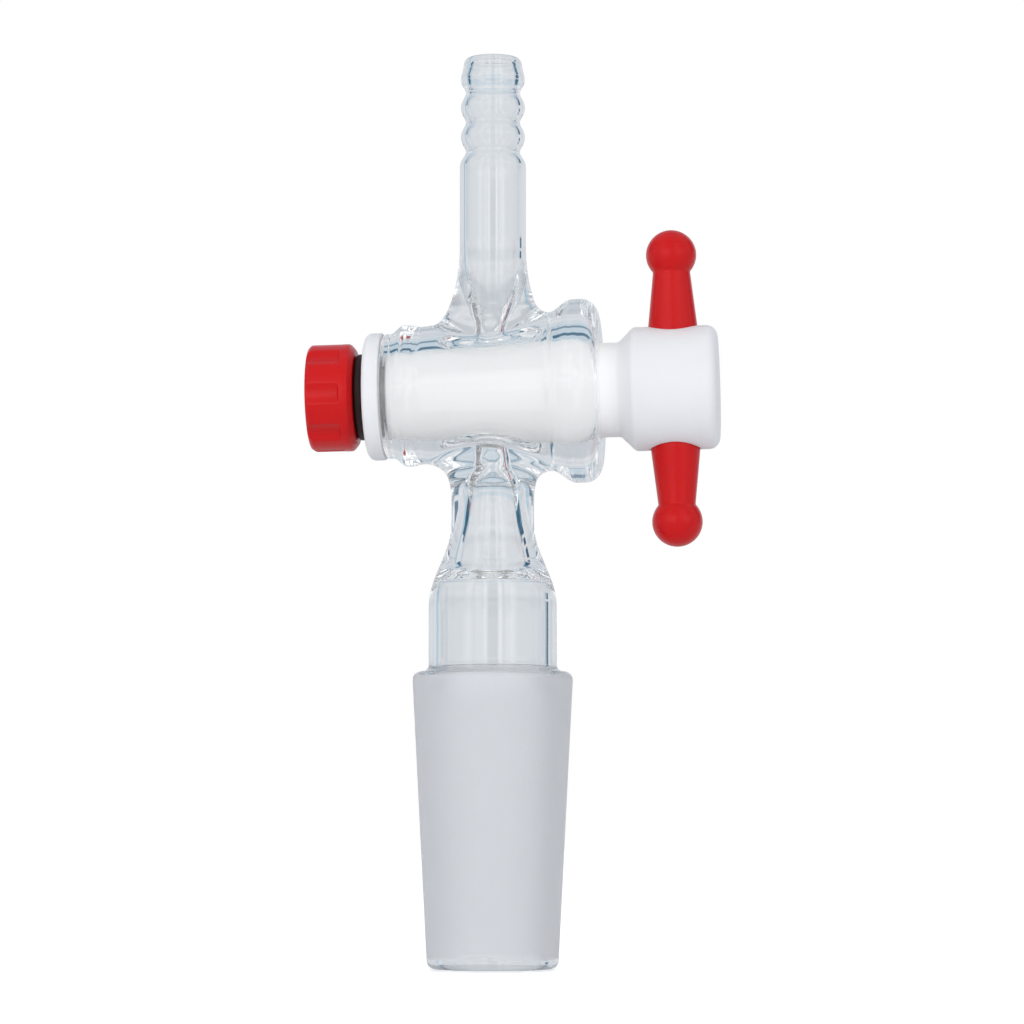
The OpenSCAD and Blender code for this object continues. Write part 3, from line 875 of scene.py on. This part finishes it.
        # The angles start at the window's first corner and run the way that its edge does
        angles = np.radians(180 - 45 * side + side * np.arange(size) * 360 / size)
        outer_loop, port_loop = (window_loop(ids, window) for window in windows)
        port_loop = port_loop[(3 * WINDOW_CELLS - np.arange(size)) % size]
        every = np.vstack(skin.points)

        def field(points):
            """Distance to the barrel and to the arm, in smooth union."""
            place, up, front = np.moveaxis(seen_from_barrel(points), -1, 0)
            arm_r = np.interp(points[..., 2], by_height[:, 1], by_height[:, 0])
            to_barrel = np.hypot(up, front) - np.interp(place, shape[:, 1], shape[:, 0])
            to_arm = (np.hypot(points[..., 0], points[..., 1]) - arm_r) * FLARE_SLOPE
            return blend_union(to_barrel, to_arm, reach)

        ring_r = np.interp(ring_z, by_height[:, 1], by_height[:, 0])
        ring = rings(np.array([[ring_r, ring_z]]), angles)[0]
        across, front = out[0, 0] * np.cos(angles), out[0, 0] * np.sin(angles)
        crease_up = np.sqrt(np.maximum(barrel_r**2 - front**2, 1.0))
        crease = np.column_stack([across, front, middle + side * crease_up])
        t = np.linspace(0, 1, BLEND_ROWS + 2)[1:, None, None]
        guess = (1 - t) ** 2 * every[outer_loop] + 2 * t * (1 - t) * crease + t**2 * ring
        rows = settle(guess, field)
        beyond = out[(out[:, 1] - ring_z) * side > gap]
        body = rings(joined(beyond, into), angles)
        port_edge = seen_from_barrel(every[port_loop])
        mouth, _ = mouth_rows(port_edge, PORT_SHIFT * side, port_r + PORT_EASE, bore_radius, side, 8)
        mouth = along_barrel(mouth)[::-1]
        wall = np.stack([
            np.column_stack([
                port_r * np.cos(angles), port_r * np.sin(angles), mouth[0][:, 2] + side * lift])
            for lift in (1.2, 0.5, 0.25)])
        new = skin.add(np.concatenate([rows, body, wall, mouth]))
        skin.cover(np.vstack([outer_loop, new, port_loop]))
        return new[len(rows) : len(rows) + len(beyond)].ravel()


class STOPCOCK_OT_plug(bpy.types.Operator):
    """Makes the plug: threaded stub, tapered key with its bore, neck and head with the bar's hole."""

    bl_idname = "stopcock.plug"
    bl_label = "Plug"

    def execute(self, context):
        _, p, grip, at = settings(context)
        stub_r, head_r, neck_r = p.stub_d / 2, p.head_d / 2, p.neck_d / 2
        sine = math.sin(math.radians(PLUG_SECTOR))
        port_reach, bar_reach = key_radius(0) * sine, head_r * sine
        port_rows = np.linspace(-port_reach, port_reach, PLUG_CELLS + 1)
        bar_rows = np.linspace(at.bar - bar_reach, at.bar + bar_reach, PLUG_CELLS + 1)
        neck_start, key_left, key_right, core = at.neck - 0.2, -8.0, 6.0, 0.6
        rim = [head_r - p.head_round, at.head_end - p.head_round]
        profile = joined(
            eased([[core, at.stub_end, 0], [stub_r - 0.7, at.stub_end, 0.2],
                   [stub_r - 0.1, at.stub_end + 0.55, 0]]),
            column(stub_r, np.linspace(at.stub_end + 0.6, at.key_end - 0.35, 96)),
            eased([[stub_r, at.key_end - 0.3, 0], [stub_r, at.key_end, 0.2],
                   [key_radius(at.key_end), at.key_end, 0.35], [key_radius(key_left), key_left, 0]]),
            column(key_radius(port_rows), port_rows),
            eased([[key_radius(key_right), key_right, 0], [key_radius(neck_start), neck_start, 0.3],
                   [neck_r + 0.08, at.neck + 0.1, key_radius(at.neck) - neck_r],
                   [neck_r, at.neck + 0.9, 0.3], [neck_r, at.head, 0.35],
                   [head_r, at.head + at.chamfer, 0.45], [head_r, bar_rows[0], 0]]),
            column(head_r, bar_rows),
            arc(rim, [p.head_round] * 2, 0, 90, 14),
            [[core, at.head_end]])
        angles = sector_angles(PLUG_SECTOR, PLUG_CELLS, PLUG_SIDE_CELLS)
        radius = np.tile(profile[:, :1], len(angles))
        stub = profile[:, 1] < at.key_end - 0.3
        place = profile[stub, 1:2]
        fade = ramp(-place, 1.0 - at.key_end, 0.8) * ramp(place, at.stub_end + 0.3, 0.5)
        radius[stub] -= STUB_THREAD * fade * thread_wave(place, angles, p.thread_pitch)
        radius[stub] = np.minimum(radius[stub], flat_limit(stub_r - p.key_flat, angles))
        skin = Skin()
        ids = skin.add(turned(profile, angles, radius))
        holes = ((port_rows[0], 0.0, p.port_d / 2, key_radius),
                 (bar_rows[0], at.bar, grip.bar_d / 2 + BAR_CLEAR, lambda place: head_r + 0 * place))
        inner = (profile[:, 0] < stub_r / 2) * 1e3
        rows = [int(np.argmin(np.abs(profile[:, 1] - hole[0]) + inner)) for hole in holes]
        windows = window_pairs(rows, PLUG_CELLS, PLUG_CELLS + PLUG_SIDE_CELLS)
        skin.cover(ids, holes=windows)
        skin.cap(ids[0], [at.stub_end, 0, 0], turned_in=True)
        skin.cap(ids[-1], [at.head_end, 0, 0])
        for i, (_, centre, hole_r, radius_at) in enumerate(holes):
            self.hole(skin, ids, windows[2 * i : 2 * i + 2], centre, hole_r, radius_at)
        # The second colour is the key's painted lift of light, whiter where the glass dims it
        white = once(fluoropolymer_turned, p.white, p.turned)
        skin.piece("Plug", white, "plug", "plug_set", "white_plastic")
        return {"FINISHED"}

    def hole(self, skin, ids, windows, centre, hole_r, radius_at):
        """A round hole from the window above to the one below, with its edges eased."""
        edge, depth, size = 0.06, 0.22, 4 * PLUG_CELLS
        upper, lower = (window_loop(ids, window) for window in windows)
        # The lower loop, which runs the other way, is matched to the upper one
        lower = lower[(PLUG_CELLS - np.arange(size)) % size]
        points = np.vstack(skin.points)
        top_rows, aim = mouth_rows(points[upper], centre, hole_r + PORT_EASE, radius_at, 1, 6)
        low_rows, _ = mouth_rows(points[lower], centre, hole_r + PORT_EASE, radius_at, -1, 6)
        top, low = top_rows[-1][:, 1], low_rows[-1][:, 1]
        up = np.stack([
            top - edge, top - depth, *((top - depth) * share for share in np.linspace(0.8, -0.8, 7)),
            low + depth, low + edge])
        wall_r = np.full((len(up), 1), hole_r)
        wall_r[[0, -1]] += edge
        wall = np.stack([centre + wall_r * np.cos(aim), up, wall_r * np.sin(aim)], -1)
        new = skin.add(np.concatenate([top_rows, wall, low_rows[::-1]]))
        skin.cover(np.vstack([upper, new, lower]))


class STOPCOCK_OT_handle(bpy.types.Operator):
    """Makes the handle bar: a turned outline with a ball at each end, along the barrel's up."""

    bl_idname = "stopcock.handle"
    bl_label = "Handle bar"

    def execute(self, context):
        _, p, grip, at = settings(context)
        half, ball_r = grip.ball_span / 2, grip.ball_d / 2
        waist_r, bar_r, head_r = grip.waist_d / 2, grip.bar_d / 2, p.head_d / 2
        joint = math.degrees(math.acos(waist_r / ball_r))
        waist = half - math.sqrt(ball_r**2 - waist_r**2)
        above = joined(
            eased([[bar_r, 0, 0], [bar_r, head_r - 0.4, 1.0], [waist_r, waist, 0.5],
                   [waist_r + 0.3, waist + 0.35, 0]]),
            arc([0, half], [ball_r, ball_r], -joint + 9, 86, 26))
        profile = np.vstack([above[::-1] * [1, -1], above[1:]])
        angles = full_turn(72)
        # A moulding's parting line stands a hair proud along both flanks of the bar
        seam = SEAM_HEIGHT * np.exp(-((np.sin(angles) / SEAM_WIDTH) ** 2))
        radius = profile[:, :1] + seam * (np.abs(profile[:, 1:2]) > head_r + 0.6)
        up = profile[:, 1:2] + 0 * angles
        skin = Skin()
        ids = skin.add(np.stack([at.bar + radius * np.cos(angles), up, -radius * np.sin(angles)], -1))
        skin.cover(ids)
        skin.cap(ids[0], [at.bar, -half - ball_r, 0], turned_in=True)
        skin.cap(ids[-1], [at.bar, half + ball_r, 0])
        red = once(polypropylene_moulded_red, grip.red)
        skin.piece("Handle_bar", red, "handle_bar", "plug_set", "red_plastic")
        return {"FINISHED"}


class STOPCOCK_OT_washer(bpy.types.Operator):
    """Makes the washer: a rounded rim turned round the plug, with a hole flat on one side."""

    bl_idname = "stopcock.washer"
    bl_label = "Washer"

    def execute(self, context):
        _, p, _, at = settings(context)
        left, right, rim = at.washer, at.washer + p.washer_t, p.washer_d / 2
        hole, edge = p.stub_d / 2 + STUB_CLEAR, 0.3
        profile = joined(
            arc([rim - p.washer_round, left + p.washer_round], [p.washer_round] * 2, -90, 0, 10),
            arc([rim - edge, right - edge], [edge, edge], 0, 90, 5),
            eased([[rim - 1, right, 0], [hole, right, 0.2], [hole, left, 0.2], [rim - 2, left, 0]]))
        angles = full_turn(128)
        radius = np.tile(profile[:, :1], len(angles))
        inner = np.abs(profile[:, 0] - hole) < 0.25
        most = flat_limit(hole - p.key_flat, angles) + (profile[inner, :1] - hole)
        radius[inner] = np.minimum(radius[inner], most)
        skin = Skin()
        skin.cover(skin.add(turned(profile, angles, radius)), loop=True)
        # The second colour is the key's painted lift of light, shared through the one material
        white = once(fluoropolymer_turned, p.white, p.turned)
        skin.piece("Washer", white, "washer", "plug_set", "white_plastic")
        return {"FINISHED"}


class STOPCOCK_OT_ring(bpy.types.Operator):
    """Makes the rubber ring: a round section, flattened by the washer and the nut."""

    bl_idname = "stopcock.ring"
    bl_label = "Rubber ring"

    def execute(self, context):
        _, p, grip, at = settings(context)
        half_t, rim = grip.ring_t / 2, grip.ring_d / 2
        section = (grip.ring_d - p.stub_d) / 4 - STUB_CLEAR / 2
        a = full_turn(40)
        # A superellipse of power 3 between the round section and its two flats
        lean = (np.abs(np.cos(a)) ** 3 + np.abs(np.sin(a)) ** 3) ** (-1 / 3)
        radius = np.clip(rim - section - section * lean * np.cos(a), p.stub_d / 2 + STUB_CLEAR, rim)
        profile = column(radius, at.ring + half_t + half_t * lean * np.sin(a))
        skin = Skin()
        skin.cover(skin.add(turned(profile[::-1], full_turn(96))), loop=True)
        black = once(nitrile_rubber_moulded, grip.black)
        skin.piece("O_ring", black, "o_ring", "tension_ring", "black_rubber")
        return {"FINISHED"}


class STOPCOCK_OT_nut(bpy.types.Operator):
    """Makes the nut: a bevelled collar, shallow flutes round the rest, and a thread inside."""

    bl_idname = "stopcock.nut"
    bl_label = "Nut"

    def execute(self, context):
        _, p, grip, at = settings(context)
        left, right, rim = at.nut, at.nut + grip.nut_len, grip.nut_d / 2
        hole, bevel, depth = p.stub_d / 2 + STUB_CLEAR, grip.nut_bevel, grip.flute_depth
        flute_end = right - grip.collar_len - bevel
        outside = joined(
            eased([[hole + 0.7, left, 0], [rim - 0.5, left, 0.25], [rim, left + 0.5, 0.3],
                   [rim, left + 1.2, 0]]),
            line([rim, left + 1.2], [rim, flute_end - 0.35], 8),
            line([rim, flute_end - 0.25], [rim, flute_end + 0.15], 6),
            eased([[rim, flute_end + 0.25, 0], [rim, right - bevel, 0.35], [rim - bevel * 1.2, right, 0.3],
                   [hole + 0.8, right, 0]]))
        profile = joined(
            outside,
            eased([[hole + 0.7, right, 0], [hole + 0.1, right, 0.2], [hole, right - 0.25, 0]]),
            column(hole, np.linspace(right - 0.3, left + 0.9, 60)),
            eased([[hole, left + 0.8, 0], [hole, left + 0.5, 0.1], [hole + 0.5, left, 0.15],
                   [hole + 0.65, left, 0]]))
        radius, place = profile[:, :1], profile[:, 1:2]
        angles = full_turn(grip.flute_count * 28)
        # A flute is a round cutter whose axis lies outside the rim; its near side cuts the radius
        cutter = (grip.flute_w**2 / 4 + depth**2) / (2 * depth)
        away = rim + cutter - depth
        step = 2 * np.pi / grip.flute_count
        turn = (angles - np.pi / 2 + step / 2) % step - step / 2
        inside = np.maximum(cutter**2 - (away * np.sin(turn)) ** 2, 0)
        cut = np.maximum(rim - (away * np.cos(turn) - np.sqrt(inside)), 0) * (inside > 0)
        fluted = cut * ramp(-place, -flute_end, 0.25) - np.maximum(rim - radius, 0)
        outer = (np.arange(len(profile)) < len(outside))[:, None]
        bore = np.abs(radius - hole) < 1e-6
        fade = ramp(place, left + 0.7, 0.4) * ramp(-place, 0.4 - right, 0.5)
        thread = fade * NUT_THREAD * thread_wave(place, angles, p.thread_pitch)
        skin = Skin()
        radius = radius - outer * np.maximum(fluted, 0) + bore * thread
        skin.cover(skin.add(turned(profile, angles, radius)), loop=True)
        red = once(polypropylene_moulded_red, grip.red)
        skin.piece("Nut", red, "nut", "tension_nut", "red_plastic")
        return {"FINISHED"}


class STOPCOCK_OT_stage(bpy.types.Operator):
    """Makes the floor, the studio's light and the camera."""

    bl_idname = "stopcock.stage"
    bl_label = "Stage"

    def execute(self, context):
        scene = context.scene
        s = sizes(scene.stopcock_studio)
        scene.view_settings.view_transform = "Standard"
        scene.cycles.max_bounces = GLASS_BOUNCES
        scene.cycles.glossy_bounces = GLASS_BOUNCES
        scene.cycles.transmission_bounces = GLASS_BOUNCES
        scene.world = self.studio_world(s)

        mesh = bpy.data.meshes.new("Floor")
        corners = np.array([(-1, -1, 0), (1, -1, 0), (1, 1, 0), (-1, 1, 0)]) * FLOOR_REACH
        mesh.from_pydata(corners - [0, 0, FLOOR_DROP], [], [(0, 1, 2, 3)])
        mesh.materials.append(once(pale_matt_paint, s.floor))
        floor = bpy.data.objects.new("Floor", mesh)
        scene.collection.objects.link(floor)
        floor.visible_transmission = False

        for name, place, size, power in LAMPS:
            light = bpy.data.lights.new(name, "AREA")
            light.shape, light.size, light.energy = "SQUARE", size, power
            lamp = bpy.data.objects.new(name, light)
            lamp.location = place
            lamp.rotation_euler = (Vector(LAMP_AIM) - lamp.location).to_track_quat("-Z", "Y").to_euler()
            lamp.visible_transmission = False
            lamp.visible_glossy = False
            scene.collection.objects.link(lamp)

        data = bpy.data.cameras.new("Camera")
        data.sensor_width, data.lens = 36.0, s.lens
        data.clip_start, data.clip_end = 0.01, 10.0
        camera = bpy.data.objects.new("Camera", data)
        turn, rise = s.azimuth, s.elevation
        back = Vector((math.sin(turn) * math.cos(rise), -math.cos(turn) * math.cos(rise), math.sin(rise)))
        camera.location = Vector((s.aim_x, 0, s.aim_z)) * MM + back * s.distance * MM
        camera.rotation_euler = (-back).to_track_quat("-Z", "Y").to_euler()
        scene.collection.objects.link(camera)
        scene.camera = camera
        return {"FINISHED"}

    def studio_world(self, s):
        """White for the eye; pale walls with cards for glass and gloss; even light for the rest.

        A card is a patch of the walls between two azimuths and two elevations, with soft edges.
        """
        world = bpy.data.worlds.new("Studio")
        world.use_nodes = True
        tree = world.node_tree
        tree.nodes.clear()
        way = add(tree, "SeparateXYZ", [add(tree, "TexCoord").outputs["Generated"]]).outputs
        south = add(tree, "Math", [way["Y"], -1.0], operation="MULTIPLY")
        rise = add(tree, "Math", [way["Z"]], operation="ARCSINE")
        view = math.degrees(s.azimuth)
        # For each side, a ray's azimuth from its middle, and how far the camera's turn moves it
        sides = {"back": (add(tree, "Math", [way["X"], way["Y"]], operation="ARCTAN2"), -view),
                 "front": (add(tree, "Math", [way["X"], south], operation="ARCTAN2"), view)}

        def within(bearing, middle, half, soft):
            """1 within half of the middle angle, falling to 0 over the soft edge."""
            away = add(tree, "Math", [bearing, -math.radians(middle)], operation="ADD")
            off = add(tree, "Math", [away], operation="ABSOLUTE")
            start, end = math.radians(half), math.radians(half + soft)
            return add(tree, "MapRange", {
                "Value": off, "From Min": start, "From Max": end, "To Min": 1.0, "To Max": 0.0},
                interpolation_type="SMOOTHSTEP")

        shown = (*s.haze, 1)
        cards = [(*sides[side], *card) for side in CARDS for card in CARDS[side]]
        for azimuth, shift, turn, half_turn, height, half_height, soft, name, share in cards:
            across = within(azimuth, turn + shift, half_turn, soft)
            upright = within(rise, height, half_height, soft)
            patch = add(tree, "Math", [across, upright], operation="MULTIPLY")
            cover = add(tree, "Math", [patch, share], operation="MULTIPLY")
            glow = WINDOW_GLOW if name == "window" else 1.0
            paint = [glow * part for part in getattr(s, name)]
            shown = add(tree, "Mix", {SHARE: cover, FIRST: shown, SECOND: (*paint, 1)}, data_type="RGBA")
        path = add(tree, "LightPath").outputs
        lit = add(tree, "Math", [path["Diffuse Depth"], 0.5], operation="GREATER_THAN")
        even = add(tree, "Mix", {SHARE: lit, FIRST: shown, SECOND: (*s.even, 1)}, data_type="RGBA")
        eye = add(tree, "Mix", {
            SHARE: path["Is Camera Ray"], FIRST: even, SECOND: (1, 1, 1, 1)}, data_type="RGBA")
        light = add(tree, "Background", {"Color": eye, "Strength": 1.0})
        add(tree, "OutputWorld", {"Surface": light})
        return world


class VIEW3D_PT_stopcock(bpy.types.Panel):
    """Lists the pieces and their sizes in the sidebar."""

    bl_label = "Glass stopcock"
    bl_space_type = "VIEW_3D"
    bl_region_type = "UI"
    bl_category = "Stopcock"

    def draw(self, context):
        for operator in OPERATORS:
            self.layout.operator(operator.bl_idname)
        for name in GROUPS:
            box = self.layout.box()
            group = getattr(context.scene, name)
            for key in group.bl_rna.properties.keys():
                if key not in ("rna_type", "name"):
                    box.prop(group, key)


GROUPS = {
    "stopcock_glass": GlassSizes,
    "stopcock_plug": PlugSizes,
    "stopcock_grip": GripSizes,
    "stopcock_studio": StudioSettings,
}
OPERATORS = (
    STOPCOCK_OT_glass,
    STOPCOCK_OT_plug,
    STOPCOCK_OT_handle,
    STOPCOCK_OT_washer,
    STOPCOCK_OT_ring,
    STOPCOCK_OT_nut,
    STOPCOCK_OT_stage,
)
CLASSES = (*GROUPS.values(), *OPERATORS, VIEW3D_PT_stopcock)


def register():
    """Registers the settings, the operators and the panel."""
    for cls in CLASSES:
        bpy.utils.register_class(cls)
    for name, cls in GROUPS.items():
        setattr(bpy.types.Scene, name, PointerProperty(type=cls))


def unregister():
    """Takes away what register added."""
    for name in GROUPS:
        delattr(bpy.types.Scene, name)
    for cls in reversed(CLASSES):
        bpy.utils.unregister_class(cls)


def main():
    """Makes every piece and the stage."""
    register()
    for operator in OPERATORS:
        group, name = operator.bl_idname.split(".")
        getattr(getattr(bpy.ops, group), name)()
    bpy.context.view_layer.update()


if __name__ == "__main__":
    main()
